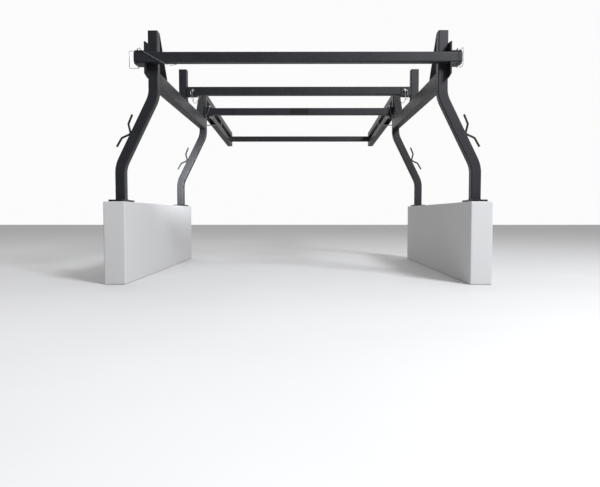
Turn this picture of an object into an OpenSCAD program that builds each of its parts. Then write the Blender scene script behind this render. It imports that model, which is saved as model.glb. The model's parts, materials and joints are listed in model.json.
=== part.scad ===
// Ladder rack for a pickup bed: four bent legs, side rails, removable crossbars and an over-cab frame.
// Millimetres. +Y is the front of the truck, +X its right side, +Z up. The feet rest on z = 0.

/* [Square tube] */
// Outside width of the square tube
tube_w = 50.8; // [40:0.1:60]
// Wall of every tube
tube_wall = 3.05; // [2:0.05:4.5]
// Outside corner radius of every tube
tube_corner_r = 5; // [4.6:0.1:7]
// Height of the side rails' rectangular tube
rail_h = 76.2; // [55:0.1:90]

/* [Legs] */
// Distance across the outer faces of the legs at the feet
foot_span = 1896; // [1700:1:2100]
// Distance across the outer faces of the posts at the top
top_span = 1540; // [1300:1:1600]
// Distance between the rear and the front legs, centre to centre
leg_pitch = 1480; // [1250:1:1800]
// Height of the posts' tops
post_top_z = 875; // [840:1:1050]
// Height of the lower corner of the bend, on the tube's centreline
lower_bend_z = 184; // [110:1:230]
// Height of the upper corner of the bend, on the tube's centreline
upper_bend_z = 544; // [450:1:560]
// Centreline radius of the bends
bend_r = 150; // [80:1:200]

/* [Feet] */
// Width of a foot plate, across the truck
foot_plate_w = 76.2; // [60:0.1:100]
// Length of a foot plate, along the truck
foot_plate_l = 203.2; // [180:0.1:260]
// Thickness of a foot plate
foot_plate_t = 6.35; // [5:0.05:10]
// Thickness of the rubber pad under a foot plate
foot_pad_t = 3.2; // [2:0.1:6]
// Distance between the two bolt holes of a foot plate
foot_hole_pitch = 152.4; // [110:0.1:160]
// Radius of the bolt holes
foot_hole_r = 5.5; // [4:0.1:7]

/* [Side rails and uprights] */
// Height of the side rails' top
rail_top_z = 670; // [640:1:690]
// Position of the middle uprights, forward of the rear legs' centre
middle_y = 745; // [600:1:900]
// Height of the middle uprights' top
middle_top_z = 864; // [800:1:950]
// Thickness of the flat bar of the struts and braces
strap_t = 6.35; // [4:0.05:10]
// Reach of a strut along the side rail
strut_run = 160; // [120:1:220]

/* [Crossbars] */
// Height of the crossbars' underside
bar_z = 703; // [695:1:712]
// How far the rear crossbar reaches past each post's outer face
rear_bar_overhang = 59; // [50:1:100]
// Gap between an inner crossbar's end and the post
bar_end_gap = 2; // [1:0.5:5]
// Gap between a crossbar and the plates above and below it
bar_play = 0.4; // [0.2:0.1:1]

/* [Brackets] */
// Thickness of the bracket plates
plate_t = 6.35; // [5:0.05:8]
// Reach of a rear bracket's cheek above the crossbar's middle
cheek_above = 82; // [60:1:100]
// Reach of a rear bracket's cheek below the crossbar's middle
cheek_below = 92; // [70:1:110]
// Length of the saddles that hold the middle crossbar
saddle_l = 62; // [55:1:110]

/* [Lock pins] */
// Radius of a lock pin
pin_r = 6.35; // [5:0.05:8]
// Radial clearance round a lock pin
pin_clear = 0.08; // [0.03:0.01:0.1]
// Radius of a lock pin's head
head_r = 8; // [7.5:0.1:12]
// Height of a lock pin's head
head_h = 12; // [10:0.5:16]
// Gap under a lock pin's head
head_gap = 0.3; // [0.2:0.1:1]
// Length of a lock pin past the last plate
tip_l = 14; // [10:0.5:20]
// Gap between a rear lock pin's hole and the plug of the bar's end cap
plug_gap = 0.6; // [0.4:0.1:10]
// Distance from the upright to a middle lock pin
middle_pin_inset = 40; // [30:1:50]
// Distance from the post to a front lock pin
front_pin_inset = 26; // [22:1:40]
// Radius of the bail wire
wire_r = 1.5; // [1:0.1:2]
// Reach of a bail from the pin's axis
bail_reach = 50; // [44:1:70]
// Bend radius of the bail wire
wire_bend_r = 6; // [4:0.5:8]

/* [Rope cleats] */
// Radius of the rope cleats' rod
cleat_rod_r = 5.5; // [4:0.05:6]
// Height of the cleats' weld
cleat_z = 352; // [300:1:420]
// Gap between a cleat's horns and the leg
cleat_gap = 30; // [18:1:36]
// Half length of a cleat along the leg
cleat_half_l = 93; // [70:1:105]
// Half length of a cleat's V at the horns
cleat_v_half = 40; // [25:1:50]
// Distance that a cleat's ends stand further off the leg than its bends
cleat_flare = 3.5; // [0:0.5:8]

/* [Over-cab frame] */
// Length of the over-cab rails
cab_rail_l = 1640; // [1200:10:1900]
// Downward tilt of the over-cab rails, in degrees
cab_tilt = 2.4; // [0:0.1:2.6]
// Clear gap between the upper and the lower over-cab rail
cab_rail_gap = 43; // [35:1:60]
// Distance of the end crossbar's centre from the rails' front end
cab_bar_inset = 60; // [40:1:120]
// Reach of the brace under the lower over-cab rail
cab_brace_run = 520; // [350:5:600]

/* [Small parts] */
// Thickness of a plastic cap's flange
cap_t = 2.5; // [2:0.1:4]
// Depth of a plastic cap's plug
cap_plug = 8; // [6:0.5:25]
// Clearance round a cap's plug
cap_clear = 0.15; // [0.1:0.05:0.4]
// Width of the blank name plate
name_plate_w = 141; // [100:1:180]
// Thickness of the name plate
name_plate_t = 1.5; // [1:0.1:3]
// Diameter of the coated lanyard cable
lanyard_d = 3.2; // [2.5:0.1:4.5]

/* [Hidden] */
$fn = 48;
// The straights of a bent tube or rod run this far into its bends, which are thicker by this much
lap = 0.4;
swell = 0.03;
big = 4000;

BLACK = [0.09, 0.09, 0.1];
PLASTIC = [0.05, 0.05, 0.05];
RUBBER = [0.07, 0.07, 0.07];
ZINC = [0.78, 0.78, 0.76];
CABLE = [0.72, 0.73, 0.74];
PLATE_BLACK = [0.04, 0.04, 0.045];

// --- derived sizes -----------------------------------------------------------------------------
half_w = tube_w / 2;
bottom_x = foot_span / 2 - half_w;
post_x = top_span / 2 - half_w;
post_in_x = post_x - half_w;
post_out_x = post_x + half_w;
leg_base_z = foot_pad_t + foot_plate_t;
pad_edge = 1.5;
slant = atan2(bottom_x - post_x, upper_bend_z - lower_bend_z);
tangent_l = bend_r * tan(slant / 2);
slant_l = norm([bottom_x - post_x, upper_bend_z - lower_bend_z]) - 2 * tangent_l;
post_tube_top = post_top_z - cap_t;
bar_top_z = bar_z + tube_w;
bar_mid_z = bar_z + half_w;
rear_bar_y = -tube_w;
rear_bar_half = post_out_x + rear_bar_overhang;
inner_bar_half = post_in_x - bar_end_gap;
bar_back_y = rear_bar_y - half_w;
rear_pin_x = rear_bar_half - cap_t - cap_plug - plug_gap - pin_r - pin_clear;
middle_pin_x = post_in_x - middle_pin_inset;
front_pin_x = post_in_x - front_pin_inset;
stack_h = tube_w + 2 * bar_play + 2 * plate_t;
eye_h = head_h * 0.55;
stud_r = 2.4;
stud_h = 2.4;
lug_rise = 3.1;
name_plate_h = tube_w - 2 * tube_corner_r;
rivet_x = name_plate_w / 2 - 7;
crimp_l = 7;
saddle_top_z = bar_top_z - 4;
bail_arm_y = head_r + wire_bend_r;
bail_drop = eye_h + head_gap + stack_h + tip_l + wire_r + 0.8;
cab_start_y = leg_pitch + half_w;
lower_rail_drop = tube_w + cab_rail_gap;
cab_bar_y = cab_start_y + (cab_rail_l - cab_bar_inset) * cos(cab_tilt);
bracket_top_z = bar_top_z + bar_play + plate_t;
cheek_low_z = bar_mid_z - cheek_below;
cheek_high_z = bar_mid_z + cheek_above;
cheek_front_y = half_w - 10;
cheek_top_fall = 5;
cheek_low_rise = 10;

// How far each pin is turned, [left, right], and the choice between the two
rear_turn = [0, -90];
middle_turn = [-6, 8];
front_turn = [90, 90];
function pick(pair, side) = side < 0 ? pair[0] : pair[1];

// The model is centred fore and aft between the rear feet's pads or bails and the front caps.
rearmost_y = min(rear_bar_y - bail_reach - wire_r, -foot_plate_l / 2 - pad_edge);
frontmost_y = cab_start_y + (cab_rail_l + cap_t) * cos(cab_tilt);
shift_y = -(rearmost_y + frontmost_y) / 2;

// Cable routes, from the eyelet to the pin's head, with y counted from the rear legs' centre
REAR_ROUTE = [
    [-619, -56, 695.5], [-632, -60, 691], [-646, -66, 688], [-660, -74, 689], [-673, -79, 694],
    [-687, -80, 702], [-703, -80, 711], [-721, -80, 721], [-739, -80, 731], [-757, -80, 741],
    [-773, -80, 750], [-785, -80, 758], [-793, -79, 766], [-798, -75, 773], [-802, -69, 776],
    [-805.5, -62.5, 776.2]
];
MIDDLE_ROUTE = [
    [640, 741, 695], [645, 735, 684], [649, 727, 672], [653, 717, 660], [658, 707, 650],
    [663, 698, 645], [668, 690, 645], [672, 685, 651], [675, 683, 663], [677, 684, 677],
    [678.5, 688, 691], [679.2, 693, 704], [679.2, 697.2, 715.4]
];
FRONT_ROUTE = [
    [748, 1450, 699], [740, 1448, 694], [731, 1447, 691.5], [721, 1446, 692.5], [712, 1446, 698],
    [705, 1446, 708], [700, 1446, 720], [696.5, 1446, 733], [694.5, 1446, 746], [693.5, 1447.5, 758],
    [693.2, 1452, 768], [693.2, 1459, 774.5], [693.2, 1467, 776.2]
];

// --- shared shapes -----------------------------------------------------------------------------
// A rectangle with round corners, centred
module rounded_rect(w, h, r) {
    square([w - 2 * r, h], center = true);
    square([w, h - 2 * r], center = true);
    for (sx = [-1, 1], sy = [-1, 1])
        translate([sx * (w / 2 - r), sy * (h / 2 - r)]) circle(r);
}

// The tube's outer outline, and its bore
module tube_outer(h) { rounded_rect(tube_w, h, tube_corner_r); }
module tube_bore(h) {
    rounded_rect(tube_w - 2 * tube_wall, h - 2 * tube_wall, tube_corner_r - tube_wall);
}

// A straight tube of length l along +Z, w by h outside
module straight_tube(l, h = tube_w) {
    difference() {
        linear_extrude(l) tube_outer(h);
        translate([0, 0, -1]) linear_extrude(l + 2) tube_bore(h);
    }
}

// The same along +Y and along +X, centred on the other axes; h is the vertical size
module tube_along_y(l, h = tube_w) { rotate([-90, 0, 0]) straight_tube(l, h); }
module tube_along_x(l, h = tube_w) { translate([-l / 2, 0, 0]) rotate([90, 0, 90]) straight_tube(l, h); }

// side is -1 for the left and 1 for the right
module on_side(side) { mirror([side < 0 ? 1 : 0, 0, 0]) children(); }
module placed() { translate([0, shift_y, 0]) children(); }

// A round wire or rod along straight stretches, with true bends of radius bend at its corners
function unit(v) = v / norm(v);
function corner_angle(p, i) = acos(unit(p[i] - p[i - 1]) * unit(p[i + 1] - p[i]));
function corner_cut(p, i, bend) =
    (i == 0 || i == len(p) - 1) ? 0 : bend * tan(corner_angle(p, i) / 2) - lap;
module rod(a, b, r) {
    d = b - a;
    translate(a) rotate([0, acos(d[2] / norm(d)), atan2(d[1], d[0])]) cylinder(r = r, h = norm(d));
}
module wire(p, r, bend) {
    union() {
        for (i = [0 : len(p) - 2]) {
            d = unit(p[i + 1] - p[i]);
            rod(p[i] + d * corner_cut(p, i, bend), p[i + 1] - d * corner_cut(p, i + 1, bend), r);
        }
        for (i = [1 : len(p) - 2]) {
            into = unit(p[i] - p[i - 1]);
            out = unit(p[i + 1] - p[i]);
            side = unit(cross(into, out));
            inward = cross(side, into);
            at = p[i] - into * bend * tan(corner_angle(p, i) / 2) + inward * bend;
            multmatrix([
                [-inward[0], into[0], side[0], at[0]],
                [-inward[1], into[1], side[1], at[1]],
                [-inward[2], into[2], side[2], at[2]],
                [0, 0, 0, 1]
            ]) rotate_extrude(angle = corner_angle(p, i)) translate([bend, 0]) circle(r + swell);
        }
    }
}

// A cable: one closed sweep of an octagon along its route
function route_dir(p, i) = unit(p[min(i + 1, len(p) - 1)] - p[max(i - 1, 0)]);
function ring(p, i, r, n, flat) =
    let (d = route_dir(p, i), u = unit(cross(d, flat)), v = cross(d, u))
    [for (k = [0 : n - 1]) p[i] + r * (cos(360 * k / n) * u + sin(360 * k / n) * v)];
// flat is a direction that the route never takes
module cable(p, r, flat, n = 8) {
    m = len(p);
    polyhedron(
        points = [for (i = [0 : m - 1]) each ring(p, i, r, n, flat)],
        faces = concat(
            [[for (k = [0 : n - 1]) k]],
            [for (i = [0 : m - 2], k = [0 : n - 1])
                [i * n + k, (i + 1) * n + k, (i + 1) * n + (k + 1) % n, i * n + (k + 1) % n]],
            [[for (k = [n - 1 : -1 : 0]) (m - 1) * n + k]]
        )
    );
}

// --- legs and feet -----------------------------------------------------------------------------
// The leg's path as a solid: vertical, bend, slanted inward, bend, vertical, from low to high
module bent_run(profile_w, r, low, high) {
    module outline(grow = 0) { rounded_rect(profile_w + 2 * grow, profile_w + 2 * grow, r + grow); }
    lower_c = [bottom_x - bend_r, lower_bend_z - tangent_l];
    slant_a = lower_c + bend_r * [cos(slant), sin(slant)];
    upper_c = [post_x + bend_r, upper_bend_z + tangent_l];
    translate([bottom_x, 0, low]) linear_extrude(lower_c[1] + lap - low) outline();
    translate([lower_c[0], 0, lower_c[1]]) rotate([90, 0, 0])
        rotate_extrude(angle = slant) translate([bend_r, 0]) outline(swell);
    translate([slant_a[0], 0, slant_a[1]]) rotate([0, -slant, 0]) translate([0, 0, -lap])
        linear_extrude(slant_l + 2 * lap) outline();
    translate([upper_c[0], 0, upper_c[1]]) rotate([90, 0, 0]) rotate([0, 0, 180])
        rotate_extrude(angle = slant) translate([bend_r, 0]) outline(swell);
    translate([post_x, 0, upper_c[1] - lap]) linear_extrude(high - upper_c[1] + lap) outline();
}

module leg(side, y) {
    color(BLACK) placed() on_side(side) translate([0, y, 0]) difference() {
        bent_run(tube_w, tube_corner_r, leg_base_z, post_tube_top);
        bent_run(tube_w - 2 * tube_wall, tube_corner_r - tube_wall, leg_base_z - 1, post_tube_top + 1);
    }
}

module foot_holes(r, h) {
    for (s = [-1, 1]) translate([0, s * foot_hole_pitch / 2, -1]) cylinder(r = r, h = h + 2);
}

module foot_plate(side, y) {
    color(BLACK) placed() on_side(side) translate([bottom_x, y, foot_pad_t]) difference() {
        linear_extrude(foot_plate_t) rounded_rect(foot_plate_w, foot_plate_l, 8);
        foot_holes(foot_hole_r, foot_plate_t);
    }
}

module foot_pads() {
    color(RUBBER) placed() for (side = [-1, 1], y = [0, leg_pitch])
        on_side(side) translate([bottom_x, y, 0]) difference() {
            linear_extrude(foot_pad_t) rounded_rect(foot_plate_w + 2 * pad_edge, foot_plate_l + 2 * pad_edge, 9);
            foot_holes(foot_hole_r + 1, foot_pad_t);
        }
}

// --- rails, uprights and struts ----------------------------------------------------------------
module side_rail(side) {
    color(BLACK) placed() on_side(side)
        translate([post_x, half_w, rail_top_z - rail_h / 2]) tube_along_y(leg_pitch - tube_w, rail_h);
}

module middle_upright(side) {
    color(BLACK) placed() on_side(side)
        translate([post_x, middle_y, rail_top_z]) straight_tube(middle_top_z - cap_t - rail_top_z);
}

// A flat strap from the top of a post down to the side rail; facing is 1 towards the front
module strut(side, y, facing) {
    drop = post_tube_top - rail_top_z;
    run_l = norm([strut_run, drop]);
    color(BLACK) placed() on_side(side) translate([post_x, y, 0]) mirror([0, facing < 0 ? 1 : 0, 0])
        translate([half_w, half_w, 0]) rotate([90, 0, -90]) mirror([1, 0, 0]) linear_extrude(tube_w)
            polygon([
                [0, post_tube_top], [strut_run, rail_top_z],
                [strut_run - strap_t * run_l / drop, rail_top_z],
                [0, post_tube_top - strap_t * run_l / strut_run]
            ]);
}

// --- crossbars ---------------------------------------------------------------------------------
module rear_crossbar() {
    color(BLACK) placed() translate([0, rear_bar_y, bar_mid_z]) difference() {
        tube_along_x(2 * (rear_bar_half - cap_t));
        for (s = [-1, 1]) translate([s * rear_pin_x, 0, -tube_w])
            cylinder(r = pin_r + pin_clear, h = 2 * tube_w);
    }
}

module middle_crossbar() {
    color(BLACK) placed() translate([0, middle_y, bar_mid_z]) difference() {
        tube_along_x(2 * (inner_bar_half - cap_t));
        for (s = [-1, 1]) translate([s * middle_pin_x, tube_w, 0]) rotate([90, 0, 0])
            cylinder(r = pin_r + pin_clear, h = 2 * tube_w);
    }
}

module front_crossbar() {
    color(BLACK) placed() translate([0, leg_pitch, bar_mid_z]) difference() {
        tube_along_x(2 * (inner_bar_half - cap_t));
        for (s = [-1, 1]) translate([s * front_pin_x, 0, -tube_w])
            cylinder(r = pin_r + pin_clear, h = 2 * tube_w);
    }
}

module over_cab_crossbar() {
    color(BLACK) placed() translate([0, cab_bar_y, bar_mid_z]) tube_along_x(2 * post_in_x);
}

// --- over-cab frame ----------------------------------------------------------------------------
// Local frame of an over-cab side: y forward along the rail, z = 0 at the upper rail's top
module cab_frame(side) {
    placed() on_side(side) translate([post_x, cab_start_y, post_tube_top]) rotate([-cab_tilt, 0, 0])
        children();
}

// A rail in that frame, cut flush with the post's front face
module cab_rail(side, drop) {
    start = 20;
    color(BLACK) difference() {
        cab_frame(side) translate([0, -start, -drop - half_w]) tube_along_y(cab_rail_l + start);
        placed() translate([-big / 2, cab_start_y - 200, 0]) cube([big, 200, big]);
    }
}

module cab_rail_spacers() {
    color(BLACK) for (side = [-1, 1], y = [cab_rail_l / 2, cab_rail_l - cab_bar_inset])
        cab_frame(side) translate([0, y, -lower_rail_drop]) straight_tube(cab_rail_gap);
}

// A flat strap from the post, under the side rail's level, up to the lower over-cab rail
module cab_brace(side) {
    foot_z = rail_top_z - rail_h / 2 - strap_t;
    end_z = post_tube_top - (lower_rail_drop + tube_w) / cos(cab_tilt) - cab_brace_run * tan(cab_tilt);
    rise = end_z - foot_z;
    run_l = norm([cab_brace_run, rise]);
    t = strap_t * run_l / cab_brace_run;
    far = strap_t * run_l / rise;
    color(BLACK) placed() on_side(side) translate([post_x, cab_start_y, 0])
        translate([half_w, 0, 0]) rotate([90, 0, -90]) mirror([1, 0, 0]) linear_extrude(tube_w)
            polygon([
                [0, foot_z], [cab_brace_run, end_z],
                [cab_brace_run - far, end_z + far * tan(cab_tilt)], [0, foot_z + t]
            ]);
}

// --- brackets ----------------------------------------------------------------------------------
// The cheek of a rear bracket, a jaw round the crossbar, as a plate from x = 0 outward
module cheek() {
    jaw = half_w + bar_play;
    rotate([90, 0, 90]) linear_extrude(plate_t) polygon([
        [cheek_front_y, cheek_low_z], [cheek_front_y, cheek_high_z],
        [-half_w, cheek_high_z], [bar_back_y, cheek_high_z - cheek_top_fall],
        [bar_back_y, bar_mid_z + jaw], [-half_w, bar_mid_z + jaw],
        [-half_w, bar_mid_z - jaw], [bar_back_y, bar_mid_z - jaw],
        [bar_back_y, cheek_low_z + cheek_low_rise], [-half_w, cheek_low_z]
    ]);
}

// A tab over or under the rear crossbar, with its rear outer corner cut off
module rear_tab() {
    far = rear_bar_half;
    cut = 10;
    linear_extrude(plate_t) polygon([
        [post_out_x, bar_back_y], [far - cut, bar_back_y], [far, bar_back_y + cut],
        [far, 0], [far - 6, 6], [post_out_x, 6]
    ]);
}

module rear_bracket(side) {
    color(BLACK) placed() on_side(side) difference() {
        union() {
            translate([post_out_x, 0, 0]) cheek();
            translate([0, 0, bar_top_z + bar_play]) rear_tab();
            translate([0, 0, bar_z - bar_play - plate_t]) rear_tab();
        }
        translate([rear_pin_x, rear_bar_y, bar_z - tube_w]) cylinder(r = pin_r + pin_clear, h = 3 * tube_w);
    }
}

// A U-shaped saddle on the upright's inner face, open at the top
module middle_saddle(side) {
    inner = half_w + bar_play;
    outer = inner + plate_t;
    color(BLACK) placed() on_side(side) translate([post_in_x - saddle_l, middle_y, 0]) difference() {
        rotate([90, 0, 90]) linear_extrude(saddle_l) polygon([
            [-outer, bar_z - bar_play - plate_t], [outer, bar_z - bar_play - plate_t],
            [outer, saddle_top_z], [inner, saddle_top_z], [inner, bar_z - bar_play],
            [-inner, bar_z - bar_play], [-inner, saddle_top_z], [-outer, saddle_top_z]
        ]);
        translate([saddle_l - middle_pin_inset, tube_w, bar_mid_z]) rotate([90, 0, 0])
            cylinder(r = pin_r + pin_clear, h = 2 * tube_w);
    }
}

// Two tabs and a back plate on the front post's inner face
module front_bracket(side) {
    tab_l = front_pin_inset + head_r + 8;
    color(BLACK) placed() on_side(side) difference() {
        for (z = [bar_top_z + bar_play, bar_z - bar_play - plate_t])
            translate([post_in_x - tab_l / 2, leg_pitch, z])
                linear_extrude(plate_t) rounded_rect_left(tab_l, tube_w, 10);
        translate([front_pin_x, leg_pitch, bar_z - tube_w]) cylinder(r = pin_r + pin_clear, h = 3 * tube_w);
    }
}

// A plate outline with round corners on its inboard side only
module rounded_rect_left(w, h, r) {
    rounded_rect(w, h, r);
    translate([w / 4, 0]) square([w / 2, h], center = true);
}

// --- lock pins and bails -----------------------------------------------------------------------
// Local frame of a pin: the head sits above z = 0, the shank runs down, the bail reaches along +x
module lock_pin_shape() {
    shank = stack_h + head_gap + tip_l;
    difference() {
        union() {
            cylinder(r = stud_r, h = head_h + stud_h);
            translate([0, 0, head_h + stud_h]) cylinder(r1 = stud_r + 1.8, r2 = stud_r + 1.2, h = 1);
            cylinder(r = head_r, h = head_h - 2);
            translate([0, 0, head_h - 2]) cylinder(r1 = head_r, r2 = head_r - 2, h = 2);
            translate([0, 0, 4 - shank]) cylinder(r = pin_r, h = shank - 4);
            translate([0, 0, -shank]) cylinder(r1 = pin_r - 3, r2 = pin_r, h = 4);
        }
        translate([0, -tube_w, eye_h]) rotate([-90, 0, 0]) cylinder(r = wire_r + 0.06, h = 2 * tube_w);
    }
}

module bail_shape() {
    low = eye_h - bail_drop;
    wire([
        [0, -head_r - 3, eye_h], [0, bail_arm_y, eye_h],
        [bail_reach, bail_arm_y, eye_h], [bail_reach, bail_arm_y, low],
        [0, bail_arm_y, low], [0, -pin_r - 2, low]
    ], wire_r, wire_bend_r);
}

// Where each pin stands, for the right side; turn is the bail's angle about the pin
module at_rear_pin(side, turn) {
    placed() on_side(side) translate([rear_pin_x, rear_bar_y, bracket_top_z + head_gap])
        rotate([0, 0, turn]) children();
}
module at_front_pin(side, turn) {
    placed() on_side(side) translate([front_pin_x, leg_pitch, bracket_top_z + head_gap])
        rotate([0, 0, turn]) children();
}
module at_middle_pin(side, turn) {
    placed() on_side(side)
        translate([middle_pin_x, middle_y - half_w - bar_play - plate_t - head_gap, bar_mid_z])
            multmatrix([[0, 1, 0, 0], [0, 0, -1, 0], [-1, 0, 0, 0], [0, 0, 0, 1]])
                rotate([0, 0, turn]) children();
}
module rear_lock_pin(side) { color(ZINC) at_rear_pin(side, pick(rear_turn, side)) lock_pin_shape(); }
module middle_lock_pin(side) { color(ZINC) at_middle_pin(side, pick(middle_turn, side)) lock_pin_shape(); }
module front_lock_pin(side) { color(ZINC) at_front_pin(side, pick(front_turn, side)) lock_pin_shape(); }
module rear_bail(side) { color(ZINC) at_rear_pin(side, pick(rear_turn, side)) bail_shape(); }
module middle_bail(side) { color(ZINC) at_middle_pin(side, pick(middle_turn, side)) bail_shape(); }
module front_bail(side) { color(ZINC) at_front_pin(side, pick(front_turn, side)) bail_shape(); }

// --- rope cleats -------------------------------------------------------------------------------
// A rod bent to a V with two horns, welded at the V's corner; local x is away from the leg
module cleat_shape() {
    bend = 12;
    horn = cleat_gap + cleat_rod_r;
    splay = atan2(horn - cleat_rod_r, cleat_v_half);
    wire([
        [horn + cleat_flare, 0, -cleat_half_l], [horn, 0, -cleat_v_half],
        [cleat_rod_r - bend * (1 / cos(splay) - 1), 0, 0],
        [horn, 0, cleat_v_half], [horn + cleat_flare, 0, cleat_half_l]
    ], cleat_rod_r, bend);
}

module cleat(side, y) {
    weld_x = bottom_x - (cleat_z - lower_bend_z) * tan(slant) + half_w / cos(slant);
    color(BLACK) placed() on_side(side) translate([weld_x, y, cleat_z]) rotate([0, -slant, 0]) cleat_shape();
}

// --- caps, plate, eyelets ----------------------------------------------------------------------
// A cap on a tube end that faces +Z, its plug below z = 0
module cap() {
    bore = tube_w - 2 * tube_wall - 2 * cap_clear;
    linear_extrude(cap_t * 0.6) rounded_rect(tube_w, tube_w, tube_corner_r);
    translate([0, 0, cap_t * 0.6])
        linear_extrude(cap_t * 0.4) rounded_rect(tube_w - 1.6, tube_w - 1.6, tube_corner_r - 0.8);
    difference() {
        translate([0, 0, -cap_plug])
            linear_extrude(cap_plug) rounded_rect(bore, bore, tube_corner_r - tube_wall - cap_clear);
        translate([0, 0, -cap_plug - 1]) linear_extrude(cap_plug + 1) square(bore - 5, center = true);
    }
}

module tube_caps() {
    color(PLASTIC) {
        for (side = [-1, 1]) {
            placed() on_side(side) {
                for (y = [0, leg_pitch]) translate([post_x, y, post_tube_top]) cap();
                translate([post_x, middle_y, middle_top_z - cap_t]) cap();
                translate([rear_bar_half - cap_t, rear_bar_y, bar_mid_z]) rotate([0, 90, 0]) cap();
                for (y = [middle_y, leg_pitch])
                    translate([inner_bar_half - cap_t, y, bar_mid_z]) rotate([0, 90, 0]) cap();
            }
            for (drop = [0, lower_rail_drop])
                cab_frame(side) translate([0, cab_rail_l, -drop - half_w]) rotate([-90, 0, 0]) cap();
        }
    }
}

module name_plate() {
    color(PLATE_BLACK) placed() translate([0, leg_pitch - half_w, bar_mid_z]) rotate([90, 0, 0]) difference() {
        linear_extrude(name_plate_t) rounded_rect(name_plate_w, name_plate_h, 3);
        for (s = [-1, 1]) translate([s * rivet_x, 0, -1]) cylinder(r = 1.7, h = name_plate_t + 2);
    }
}

module name_plate_rivets() {
    color(PLATE_BLACK) placed() for (s = [-1, 1])
        translate([s * rivet_x, leg_pitch - half_w, bar_mid_z]) rotate([90, 0, 0]) {
            cylinder(r = 1.6, h = name_plate_t + 0.5);
            translate([0, 0, name_plate_t]) cylinder(r1 = 3.2, r2 = 1.8, h = 1.3);
        }
}

// A riveted eyelet at c on a face with normal n, crimped to the cable that starts at p[0]
module eyelet(c, n, p) {
    d = unit(p[1] - p[0]);
    rod(c, c + n * 4.5, 5);
    rod(c + n * 4.5, c + n * 5.5, 3);
    rod(p[0] - d * crimp_l, p[0], lanyard_d / 2 + 0.9);
}

// The cable's other end: a ring round the stud on a pin's head at c, which faces along n
module stud_ring(c, n, p) {
    centre = c + n * lug_rise;
    end = p[len(p) - 1];
    difference() {
        rod(c + n * 0.3, c + n * 1.9, 5.5);
        rod(c, c + n * 3, stud_r + 0.5);
    }
    rod(centre + unit(end - centre) * 4.4, end, lanyard_d / 2 + 0.6);
}

module lanyard_eyelets() {
    top_z = bracket_top_z + head_gap + head_h;
    rear_y = middle_y - half_w - bar_play - plate_t - head_gap - head_h;
    color(ZINC) placed() {
        eyelet([-611, -54, bar_z], [0, 0, -1], REAR_ROUTE);
        stud_ring([-rear_pin_x, rear_bar_y, top_z], [0, 0, 1], REAR_ROUTE);
        for (side = [-1, 1]) on_side(side) {
            eyelet([636, middle_y, bar_z], [0, 0, -1], MIDDLE_ROUTE);
            stud_ring([middle_pin_x, rear_y, bar_mid_z], [0, -1, 0], MIDDLE_ROUTE);
            eyelet([757, leg_pitch - half_w, 704], [0, -1, 0], FRONT_ROUTE);
            stud_ring([front_pin_x, leg_pitch, top_z], [0, 0, 1], FRONT_ROUTE);
        }
    }
}

module rear_lanyard() { color(CABLE) placed() cable(REAR_ROUTE, lanyard_d / 2, [0, 1, 0.2]); }
module middle_lanyard(side) {
    color(CABLE) placed() on_side(side) cable(MIDDLE_ROUTE, lanyard_d / 2, [1, 0.1, 0]);
}
module front_lanyard(side) {
    color(CABLE) placed() on_side(side) cable(FRONT_ROUTE, lanyard_d / 2, [0.4, -0.5, 0.5]);
}

leg(-1, 0);  // left_rear_leg
leg(1, 0);  // right_rear_leg
leg(-1, leg_pitch);  // left_front_leg
leg(1, leg_pitch);  // right_front_leg
foot_plate(-1, 0);  // left_rear_foot_plate
foot_plate(1, 0);  // right_rear_foot_plate
foot_plate(-1, leg_pitch);  // left_front_foot_plate
foot_plate(1, leg_pitch);  // right_front_foot_plate
foot_pads();
side_rail(-1);  // left_side_rail
side_rail(1);  // right_side_rail
middle_upright(-1);  // left_middle_upright
middle_upright(1);  // right_middle_upright
strut(-1, 0, 1);  // left_rear_strut
strut(1, 0, 1);  // right_rear_strut
strut(-1, leg_pitch, -1);  // left_front_strut
strut(1, leg_pitch, -1);  // right_front_strut
rear_crossbar();
middle_crossbar();
front_crossbar();
over_cab_crossbar();
cab_rail(-1, 0);  // left_upper_cab_rail
cab_rail(1, 0);  // right_upper_cab_rail
cab_rail(-1, lower_rail_drop);  // left_lower_cab_rail
cab_rail(1, lower_rail_drop);  // right_lower_cab_rail
cab_brace(-1);  // left_cab_brace
cab_brace(1);  // right_cab_brace
cab_rail_spacers();
rear_bracket(-1);  // left_rear_bracket
rear_bracket(1);  // right_rear_bracket
middle_saddle(-1);  // left_middle_saddle
middle_saddle(1);  // right_middle_saddle
front_bracket(-1);  // left_front_bracket
front_bracket(1);  // right_front_bracket
rear_lock_pin(-1);  // left_rear_lock_pin
rear_lock_pin(1);  // right_rear_lock_pin
middle_lock_pin(-1);  // left_middle_lock_pin
middle_lock_pin(1);  // right_middle_lock_pin
front_lock_pin(-1);  // left_front_lock_pin
front_lock_pin(1);  // right_front_lock_pin
rear_bail(-1);  // left_rear_bail
rear_bail(1);  // right_rear_bail
middle_bail(-1);  // left_middle_bail
middle_bail(1);  // right_middle_bail
front_bail(-1);  // left_front_bail
front_bail(1);  // right_front_bail
cleat(-1, 0);  // left_rear_cleat
cleat(1, 0);  // right_rear_cleat
cleat(-1, leg_pitch);  // left_front_cleat
cleat(1, leg_pitch);  // right_front_cleat
tube_caps();
name_plate();
name_plate_rivets();
lanyard_eyelets();
rear_lanyard();  // left_rear_lanyard
middle_lanyard(-1);  // left_middle_lanyard
middle_lanyard(1);  // right_middle_lanyard
front_lanyard(-1);  // left_front_lanyard
front_lanyard(1);  // right_front_lanyard
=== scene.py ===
"""Looks for a steel ladder rack on two plain sills: powder coat, zinc, coated cables and weld beads."""

import json
import math

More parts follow.
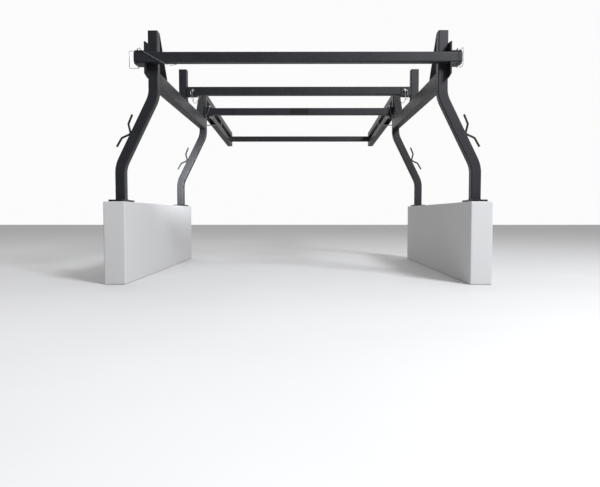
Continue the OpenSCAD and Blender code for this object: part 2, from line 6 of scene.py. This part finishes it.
import bpy
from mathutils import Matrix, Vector


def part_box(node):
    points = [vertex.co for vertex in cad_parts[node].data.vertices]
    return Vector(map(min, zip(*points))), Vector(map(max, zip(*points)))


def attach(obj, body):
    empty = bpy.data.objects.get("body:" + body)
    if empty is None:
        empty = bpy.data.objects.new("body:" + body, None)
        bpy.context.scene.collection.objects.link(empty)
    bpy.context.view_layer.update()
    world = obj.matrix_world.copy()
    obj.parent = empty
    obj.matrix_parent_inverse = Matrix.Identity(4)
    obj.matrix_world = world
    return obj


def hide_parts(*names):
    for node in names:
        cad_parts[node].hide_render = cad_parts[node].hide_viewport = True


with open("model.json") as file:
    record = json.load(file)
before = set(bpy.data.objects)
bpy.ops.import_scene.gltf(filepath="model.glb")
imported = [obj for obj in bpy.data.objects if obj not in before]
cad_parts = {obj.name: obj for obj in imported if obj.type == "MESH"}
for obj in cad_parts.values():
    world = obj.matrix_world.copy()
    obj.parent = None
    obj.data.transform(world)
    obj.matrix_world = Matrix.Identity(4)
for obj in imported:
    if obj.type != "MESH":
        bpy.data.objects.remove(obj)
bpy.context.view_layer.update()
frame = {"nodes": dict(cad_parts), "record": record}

MM = 0.001
X, Y, Z = Vector((1, 0, 0)), Vector((0, 1, 0)), Vector((0, 0, 1))
SIDES = (("left", -1), ("right", 1))
ENDS = ("rear", "front")
TUBE_W = 50.8 * MM
HALF = TUBE_W / 2
STRUT_RUN = 0.160


def middle(node):
    lo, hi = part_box(node)
    return (lo + hi) / 2


# The row frame's y of the rear legs' centre; the routes below count from there.
Y0 = middle("left_rear_strut").y - STRUT_RUN / 2 - HALF


def at(x, y, z):
    """A point given in millimetres, with y from the rear legs' centre, in the row frame in metres."""
    return Vector((x * MM, y * MM + Y0, z * MM))


# --- camera --------------------------------------------------------------------------------------
CAMERA_X, CAMERA_BACK, CAMERA_Z = 0.022, 3.0204, -0.0685
PITCH, YAW = math.radians(-2.84), math.radians(0.215)

cam_data = bpy.data.cameras.new("camera")
cam_data.lens = 34.56
cam_data.sensor_width = 36.0
cam_data.clip_start = 0.05
cam_data.clip_end = 100
camera = bpy.data.objects.new("camera", cam_data)
camera.location = (CAMERA_X, Y0 - CAMERA_BACK, CAMERA_Z)
camera.rotation_euler = (math.radians(90) + PITCH, 0, YAW)
bpy.context.scene.collection.objects.link(camera)
bpy.context.scene.camera = camera


# --- materials -----------------------------------------------------------------------------------
def material(name):
    m = bpy.data.materials.new(name)
    m.use_nodes = True
    t = m.node_tree
    bsdf = next(n for n in t.nodes if n.type == "BSDF_PRINCIPLED")
    coord = t.nodes.new("ShaderNodeTexCoord")
    return m, t, bsdf, coord.outputs["Object"]


def noise(t, vector, scale, detail=2.0, roughness=0.5):
    n = t.nodes.new("ShaderNodeTexNoise")
    n.inputs["Scale"].default_value = scale
    n.inputs["Detail"].default_value = detail
    n.inputs["Roughness"].default_value = roughness
    t.links.new(vector, n.inputs["Vector"])
    return n.outputs["Fac"]


def ramp(t, fac, stops):
    """A colour ramp; each stop is a position and a grey (v,) or a colour (r, g, b)."""
    r = t.nodes.new("ShaderNodeValToRGB")
    for slot, (pos, c) in zip(r.color_ramp.elements, stops):
        slot.position = pos
        slot.color = (*c, 1) if len(c) == 3 else (c[0], c[0], c[0], 1)
    t.links.new(fac, r.inputs["Fac"])
    return r.outputs["Color"]


def bump(t, bsdf, height, strength, distance, after=None):
    b = t.nodes.new("ShaderNodeBump")
    b.inputs["Strength"].default_value = strength
    b.inputs["Distance"].default_value = distance
    t.links.new(height, b.inputs["Height"])
    if after is not None:
        t.links.new(after, b.inputs["Normal"])
    t.links.new(b.outputs["Normal"], bsdf.inputs["Normal"])
    return b.outputs["Normal"]


def coated(name, dark, light, rough, grain, depth, specular):
    """A painted or moulded black: slow tone drift, fine grain in the gloss and a fine orange peel."""
    m, t, bsdf, obj = material(name)
    tone = noise(t, obj, 9.0, 4.0, 0.6)
    t.links.new(ramp(t, tone, [(0.3, dark), (0.7, light)]), bsdf.inputs["Base Color"])
    gloss = noise(t, obj, 60.0, 5.0, 0.65)
    rough_lo, rough_hi = rough
    t.links.new(ramp(t, gloss, [(0.3, (rough_lo,)), (0.7, (rough_hi,))]), bsdf.inputs["Roughness"])
    bsdf.inputs["Specular IOR Level"].default_value = specular
    waves = bump(t, bsdf, noise(t, obj, 150.0), 0.10, 0.0004)
    bump(t, bsdf, noise(t, obj, grain, 2.0, 0.6), 0.35, depth, waves)
    return m


def zinc(name):
    """Bright zinc plating: fine drawn scratches and a cloudy gloss."""
    m, t, bsdf, obj = material(name)
    cloud = noise(t, obj, 130.0, 4.0, 0.6)
    tones = [(0.25, (0.46, 0.46, 0.45)), (0.75, (0.66, 0.66, 0.65))]
    t.links.new(ramp(t, cloud, tones), bsdf.inputs["Base Color"])
    gloss = noise(t, obj, 420.0, 3.0)
    t.links.new(ramp(t, gloss, [(0.3, (0.20,)), (0.7, (0.40,))]), bsdf.inputs["Roughness"])
    bsdf.inputs["Metallic"].default_value = 1.0
    bump(t, bsdf, noise(t, obj, 1500.0), 0.15, 0.0001)
    return m


def cable_skin(name):
    """Steel strands under a clear skin: pale grey, with dark specks between the strands."""
    m, t, bsdf, obj = material(name)
    specks = noise(t, obj, 900.0, 3.0)
    tones = [(0.3, (0.10, 0.103, 0.108)), (0.65, (0.24, 0.245, 0.255))]
    t.links.new(ramp(t, specks, tones), bsdf.inputs["Base Color"])
    bsdf.inputs["Metallic"].default_value = 0.35
    bsdf.inputs["Roughness"].default_value = 0.32
    bsdf.inputs["Coat Weight"].default_value = 0.6
    bsdf.inputs["Coat Roughness"].default_value = 0.12
    bump(t, bsdf, noise(t, obj, 1200.0), 0.1, 0.0001)
    return m


MATERIALS = {
    "frame_black": coated(
        "powder_coat",
        dark=(0.0110, 0.0114, 0.0140),
        light=(0.0160, 0.0166, 0.0200),
        rough=(0.40, 0.54),
        grain=1400.0,
        depth=0.00012,
        specular=0.3,
    ),
    "cap_plastic": coated(
        "moulded_plastic",
        dark=(0.009, 0.009, 0.009),
        light=(0.013, 0.013, 0.013),
        rough=(0.50, 0.64),
        grain=900.0,
        depth=0.0002,
        specular=0.3,
    ),
    "foot_rubber": coated(
        "rubber",
        dark=(0.010, 0.010, 0.010),
        light=(0.018, 0.017, 0.016),
        rough=(0.70, 0.88),
        grain=700.0,
        depth=0.0003,
        specular=0.2,
    ),
    "plate_black": coated(
        "name_plate_black",
        dark=(0.007, 0.007, 0.008),
        light=(0.011, 0.011, 0.012),
        rough=(0.32, 0.44),
        grain=1800.0,
        depth=0.00006,
        specular=0.3,
    ),
    "zinc_steel": zinc("zinc_plate"),
    "cable_coating": cable_skin("cable_skin"),
}

SLOT_OF = {s["node"]: s["material_slot"] for s in frame["record"]["subparts"]}
for node_name, node_obj in frame["nodes"].items():
    node_obj.data.materials.clear()
    node_obj.data.materials.append(MATERIALS[SLOT_OF[node_name]])


# --- helpers -------------------------------------------------------------------------------------
def add_mesh(name, verts, faces, slot):
    """A smooth mesh on the rack, with the finish of a material slot."""
    mesh = bpy.data.meshes.new(name)
    mesh.from_pydata([tuple(v) for v in verts], [], faces)
    mesh.validate()
    mesh.polygons.foreach_set("use_smooth", [True] * len(mesh.polygons))
    mesh.materials.append(MATERIALS[slot])
    obj = bpy.data.objects.new(name, mesh)
    bpy.context.scene.collection.objects.link(obj)
    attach(obj, "rack")
    return obj


def line_length(line):
    return sum((b - a).length for a, b in zip(line, line[1:]))


def smooth_line(points, step):
    """A Catmull-Rom line through the points, resampled to even steps."""
    parts = 12
    p = [points[0] * 2 - points[1], *points, points[-1] * 2 - points[-2]]
    dense = []
    for a, b, c, d in zip(p, p[1:], p[2:], p[3:]):
        for k in range(parts):
            u = k / parts
            linear = (c - a) * u
            square = (2 * a - 5 * b + 4 * c - d) * u * u
            cube = (3 * b - a - 3 * c + d) * u * u * u
            dense.append(0.5 * (2 * b + linear + square + cube))
    dense.append(points[-1])
    return even(dense, step)


def even(line, step):
    """The same line with points at even steps, its ends kept."""
    total = line_length(line)
    n = max(2, round(total / step))
    out, i, run = [line[0]], 0, 0.0
    for k in range(1, n):
        want = total * k / n
        while run + (line[i + 1] - line[i]).length < want:
            run += (line[i + 1] - line[i]).length
            i += 1
        seg = line[i + 1] - line[i]
        out.append(line[i] + seg * ((want - run) / seg.length))
    return [*out, line[-1]]


def frames(line):
    """Two cross directions at each point of a line, without twist."""
    out, u = [], None
    for i in range(len(line)):
        d = (line[min(i + 1, len(line) - 1)] - line[max(i - 1, 0)]).normalized()
        if u is None:
            u = d.orthogonal().normalized()
        u = (u - d * u.dot(d)).normalized()
        out.append((u, d.cross(u)))
    return out


def tube(line, radius, sides):
    """Vertices and faces of a closed tube; radius is a function of the point's number and the angle."""
    verts, faces = [], []
    for i, (u, v) in enumerate(frames(line)):
        for k in range(sides):
            a = 2 * math.pi * k / sides
            verts.append(line[i] + (u * math.cos(a) + v * math.sin(a)) * radius(i, a))
    for i in range(len(line) - 1):
        ring, after = i * sides, (i + 1) * sides
        for k in range(sides):
            k2 = (k + 1) % sides
            faces.append((ring + k, ring + k2, after + k2, after + k))
    faces.append(tuple(reversed(range(sides))))
    faces.append(tuple((len(line) - 1) * sides + k for k in range(sides)))
    return verts, faces


# --- lanyards ------------------------------------------------------------------------------------
CABLE_D = 0.0032
CABLE_STEP = 0.0008
CABLE_SIDES = 24
STRANDS = 6
LAY_LENGTH = 0.016
RELIEF = 0.045

# Millimetres, y from the rear legs' centre. The middle and front routes are the right side's.
REAR_ROUTE = [
    (-619, -56, 695.5), (-632, -60, 691), (-646, -66, 688), (-660, -74, 689), (-673, -79, 694),
    (-687, -80, 702), (-703, -80, 711), (-721, -80, 721), (-739, -80, 731), (-757, -80, 741),
    (-773, -80, 750), (-785, -80, 758), (-793, -79, 766), (-798, -75, 773), (-802, -69, 776),
    (-805.5, -62.5, 776.2),
]
MIDDLE_ROUTE = [
    (640, 741, 695), (645, 735, 684), (649, 727, 672), (653, 717, 660), (658, 707, 650),
    (663, 698, 645), (668, 690, 645), (672, 685, 651), (675, 683, 663), (677, 684, 677),
    (678.5, 688, 691), (679.2, 693, 704), (679.2, 697.2, 715.4),
]
FRONT_ROUTE = [
    (748, 1450, 699), (740, 1448, 694), (731, 1447, 691.5), (721, 1446, 692.5), (712, 1446, 698),
    (705, 1446, 708), (700, 1446, 720), (696.5, 1446, 733), (694.5, 1446, 746), (693.5, 1447.5, 758),
    (693.2, 1452, 768), (693.2, 1459, 774.5), (693.2, 1467, 776.2),
]


def strand_radius(i, a):
    """Six outer strands under a skin: their twist shows as a low relief."""
    turn = 2 * math.pi * i * CABLE_STEP / LAY_LENGTH
    return CABLE_D / 2 * (1 - RELIEF + RELIEF * math.cos(STRANDS * (a + turn)))


def lanyard(name, route, side):
    """A coated wire rope along a route, its x taken times side."""
    line = smooth_line([at(side * x, y, z) for x, y, z in route], CABLE_STEP)
    verts, faces = tube(line, strand_radius, CABLE_SIDES)
    obj = add_mesh(f"{name}_cable", verts, faces, "cable_coating")
    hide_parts(name)
    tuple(line[0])
    line_length(line)


lanyard("left_rear_lanyard", REAR_ROUTE, 1)
for word, side in SIDES:
    lanyard(f"{word}_middle_lanyard", MIDDLE_ROUTE, side)
    lanyard(f"{word}_front_lanyard", FRONT_ROUTE, side)


# --- weld beads ----------------------------------------------------------------------------------
BEAD_SIDES = 8
BEAD_STEP = 0.0009
RIPPLE_STEPS = 4
RIPPLE = 0.16
# How far a bead stops short of the ends of its joint
INSET = 0.004
CORNER_R = 0.005
# Bead radii
FOOT_BEAD = 4.2 * MM
RAIL_BEAD = 3.4 * MM
UPRIGHT_BEAD = 3.2 * MM
BRACKET_BEAD = 3.0 * MM
STRUT_BEAD = 2.8 * MM
EDGE_BEAD = 2.6 * MM


def bead(name, points, size, closed=False):
    """A rippled weld bead along a joint, half sunk into the two pieces it joins."""
    line = [Vector(p) for p in points]
    if closed:
        line.append(line[0])
    line = even(line, BEAD_STEP)

    def radius(i, a):
        to_end = min(i, len(line) - 1 - i)
        fall = 1.0 if closed else min(1.0, 0.35 + 0.65 * to_end / RIPPLE_STEPS)
        return size * fall * (1 - RIPPLE + RIPPLE * abs(math.sin(math.pi * i / RIPPLE_STEPS)))

    verts, faces = tube(line, radius, BEAD_SIDES)
    add_mesh(name, verts, faces, "frame_black")


def tube_bead(name, centre, u, v, size):
    """A bead all round a square tube, in the plane of u and v."""
    reach = HALF - CORNER_R
    loop = []
    for su, sv, start in ((1, 1, 0), (-1, 1, 90), (-1, -1, 180), (1, -1, 270)):
        c = centre + u * su * reach + v * sv * reach
        for k in range(5):
            a = math.radians(start + 22.5 * k)
            loop.append(c + u * CORNER_R * math.cos(a) + v * CORNER_R * math.sin(a))
    bead(name, loop, size, closed=True)


class Side:
    """One side of the rack: its boxes, and beads on the faces of the tubes in line with its rail."""

    def __init__(self, word, side):
        self.word, self.side = word, side
        rail = middle(f"{word}_side_rail")
        self.x_in, self.x_out = side * (abs(rail.x) - HALF), side * (abs(rail.x) + HALF)

    def middle(self, name):
        return middle(f"{self.word}_{name}")

    def box(self, name):
        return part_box(f"{self.word}_{name}")

    def across(self, name, y, z, size):
        """A bead along x over the tube's width."""
        lo, hi = sorted((self.x_in, self.x_out))
        bead(f"{self.word}_{name}", [(lo + INSET, y, z), (hi - INSET, y, z)], size)

    def along(self, name, y_lo, y_hi, z, size):
        """A bead along y on the inner face."""
        ends = [(self.x_in, y_lo + INSET, z), (self.x_in, y_hi - INSET, z)]
        bead(f"{self.word}_{name}", ends, size)

    def upward(self, name, x, y, z_lo, z_hi, size):
        """A bead along z."""
        bead(f"{self.word}_{name}", [(x, y, z_lo), (x, y, z_hi)], size)


def leg_welds(s, end):
    """The foot, the side rail and the strut on one leg."""
    plate_mid = s.middle(f"{end}_foot_plate")
    plate_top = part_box("left_rear_foot_plate")[1].z
    foot = Vector((plate_mid.x, plate_mid.y, plate_top))
    tube_bead(f"{s.word}_{end}_foot_weld", foot, X, Y, FOOT_BEAD)

    rail_lo, rail_hi = s.box("side_rail")
    rail_y = rail_lo.y if end == "rear" else rail_hi.y
    s.across(f"{end}_rail_top_weld", rail_y, rail_hi.z, RAIL_BEAD)
    s.across(f"{end}_rail_low_weld", rail_y, rail_lo.z, RAIL_BEAD)

    # The bead at the heel lies under the sloping bar, this far below its top corner.
    heel_depth = 0.0085
    lo, hi = s.box(f"{end}_strut")
    heel, toe = (lo.y, hi.y) if end == "rear" else (hi.y, lo.y)
    s.across(f"{end}_strut_toe_weld", toe, lo.z, STRUT_BEAD)
    s.across(f"{end}_strut_top_weld", heel, hi.z - heel_depth, STRUT_BEAD)


def upright_welds(s):
    """The middle upright on its rail, and the saddle on the upright's inner face."""
    up = s.middle("middle_upright")
    rail_top = s.box("side_rail")[1].z
    tube_bead(f"{s.word}_upright_weld", Vector((up.x, up.y, rail_top)), X, Y, UPRIGHT_BEAD)
    lo, hi = s.box("middle_saddle")
    s.along("saddle_low_weld", lo.y, hi.y, lo.z, BRACKET_BEAD)


def rear_bracket_welds(s):
    """The cheek on the post's outer face: its front edge, then its rear edge above and below the bar."""
    bar_z = middle("middle_crossbar").z
    clear_of_bar = 0.036
    end_gap = 0.003
    setback = 0.010
    lo, hi = s.box("rear_bracket")
    front_y = Y0 + HALF - setback
    s.upward("bracket_front_weld", s.x_out, front_y, lo.z + INSET, hi.z - INSET, BRACKET_BEAD)
    # The rear edge's beads follow the post's round corner, a little inside its flat faces.
    corner_x, corner_y = 0.001, 0.0016
    x, y = s.x_out - s.side * corner_x, Y0 - HALF + corner_y
    s.upward("bracket_high_weld", x, y, bar_z + clear_of_bar, hi.z - end_gap, EDGE_BEAD)
    s.upward("bracket_deep_weld", x, y, lo.z + end_gap, bar_z - clear_of_bar, EDGE_BEAD)


def front_bracket_welds(s):
    """The two tabs on the post's inner face."""
    lo, hi = s.box("front_bracket")
    s.along("front_tab_high_weld", lo.y, hi.y, hi.z, STRUT_BEAD)
    s.along("front_tab_low_weld", lo.y, hi.y, lo.z, STRUT_BEAD)


def cab_rail_welds(s):
    """The over-cab rails, the brace and the end crossbar."""
    upper_lo, upper_hi = s.box("upper_cab_rail")
    s.across("upper_cab_rail_low_weld", upper_lo.y, upper_hi.z - TUBE_W, RAIL_BEAD)
    lower_lo, lower_hi = s.box("lower_cab_rail")
    s.across("lower_cab_rail_top_weld", lower_lo.y, lower_hi.z, RAIL_BEAD)
    s.across("lower_cab_rail_low_weld", lower_lo.y, lower_hi.z - TUBE_W, RAIL_BEAD)
    # The bead at the brace's heel lies on top of the sloping bar, this far above its low corner.
    heel_depth, toe_drop = 0.0065, 0.001
    lo, hi = s.box("cab_brace")
    s.across("brace_heel_weld", lo.y, lo.z + heel_depth, STRUT_BEAD)
    s.across("brace_toe_weld", hi.y, hi.z - toe_drop, STRUT_BEAD)
    bar = middle("over_cab_crossbar")
    tube_bead(f"{s.word}_end_bar_weld", Vector((s.x_in, bar.y, bar.z)), Y, Z, BRACKET_BEAD)


for word, side in SIDES:
    one_side = Side(word, side)
    for end in ENDS:
        leg_welds(one_side, end)
    upright_welds(one_side)
    rear_bracket_welds(one_side)
    front_bracket_welds(one_side)
    cab_rail_welds(one_side)


# --- floor and sills -----------------------------------------------------------------------------
FLOOR_Z = -0.42
FLOOR_HALF = 16.0
SILL_HALF_W = 0.055
SILL_PAST_FEET = 0.13
SILL_TOP = -0.0004
SILL_ROUND = 0.006


def plain(name, colour, rough):
    m, t, bsdf, obj = material(name)
    low = tuple(c * 0.97 for c in colour)
    t.links.new(ramp(t, noise(t, obj, 2.0, 3.0), [(0.3, low), (0.7, colour)]), bsdf.inputs["Base Color"])
    bsdf.inputs["Roughness"].default_value = rough
    return m


def stage_mesh(name, verts, faces, finish):
    mesh = bpy.data.meshes.new(name)
    mesh.from_pydata(verts, [], faces)
    mesh.materials.append(finish)
    obj = bpy.data.objects.new(name, mesh)
    bpy.context.scene.collection.objects.link(obj)
    return obj


def floor(finish):
    r = FLOOR_HALF
    corners = [(-r, -r, FLOOR_Z), (r, -r, FLOOR_Z), (r, r, FLOOR_Z), (-r, r, FLOOR_Z)]
    stage_mesh("floor", corners, [(0, 1, 2, 3)], finish)


def sill(word, finish):
    """A plain block under one side's feet, with rounded edges."""
    rear, front = middle(f"{word}_rear_foot_plate"), middle(f"{word}_front_foot_plate")
    x0, x1 = rear.x - SILL_HALF_W, rear.x + SILL_HALF_W
    y0, y1 = rear.y - SILL_PAST_FEET, front.y + SILL_PAST_FEET
    outline = [(x0, y0), (x1, y0), (x1, y1), (x0, y1)]
    verts = [(x, y, z) for z in (FLOOR_Z, SILL_TOP) for x, y in outline]
    faces = [(0, 3, 2, 1), (4, 5, 6, 7), (0, 1, 5, 4), (1, 2, 6, 5), (2, 3, 7, 6), (3, 0, 4, 7)]
    block = stage_mesh(f"{word}_sill", verts, faces, finish)
    rounded = block.modifiers.new("round", "BEVEL")
    rounded.width = SILL_ROUND
    rounded.segments = 3


floor(plain("studio_floor", (0.58, 0.58, 0.585), 0.75))
sill_finish = plain("studio_sill", (0.50, 0.50, 0.505), 0.7)
for word, _ in SIDES:
    sill(word, sill_finish)


# --- light ---------------------------------------------------------------------------------------
def area(name, place, target, size, power, colour=(1, 1, 1), spread=180):
    data = bpy.data.lights.new(name, "AREA")
    data.shape = "RECTANGLE"
    data.size, data.size_y = size
    data.energy = power
    data.color = colour
    data.spread = math.radians(spread)
    obj = bpy.data.objects.new(name, data)
    obj.location = place
    obj.rotation_euler = (Vector(target) - Vector(place)).to_track_quat("-Z", "Y").to_euler()
    bpy.context.scene.collection.objects.link(obj)


area(
    "key",
    place=(3.2, -5.5, 3.7),
    target=(0, -1.5, 0.6),
    size=(1.5, 1.5),
    power=500,
    colour=(0.97, 0.98, 1.0),
)
area("top", place=(0, 0.2, 4.2), target=(0, -0.2, 0), size=(4.5, 5.0), power=40)
# A narrow fill between the rear legs brings the left front leg up.
area(
    "left_fill",
    place=(-0.35, Y0 - 0.6, 0.1),
    target=(-0.89, Y0 + 1.48, 0.22),
    size=(0.25, 0.25),
    power=3.6,
    colour=(0.93, 0.96, 1.0),
    spread=22,
)


def studio_world(strength, behind, ahead):
    """White ahead and overhead, falling away to grey behind the camera."""
    world = bpy.data.worlds.new("studio")
    world.use_nodes = True
    t = world.node_tree
    back = next(n for n in t.nodes if n.type == "BACKGROUND")
    way = t.nodes.new("ShaderNodeTexCoord")
    split = t.nodes.new("ShaderNodeSeparateXYZ")
    t.links.new(way.outputs["Generated"], split.inputs["Vector"])
    lift = t.nodes.new("ShaderNodeMath")
    lift.operation = "MULTIPLY_ADD"
    lift.inputs[1].default_value = 0.5
    lift.inputs[2].default_value = 0.5
    t.links.new(split.outputs["Y"], lift.inputs[0])
    t.links.new(ramp(t, lift.outputs["Value"], [(0.2, (behind,)), (0.8, (ahead,))]), back.inputs["Color"])
    back.inputs["Strength"].default_value = strength
    return world


bpy.context.scene.world = studio_world(strength=0.97, behind=0.10, ahead=1.0)
bpy.context.scene.view_settings.view_transform = "Standard"
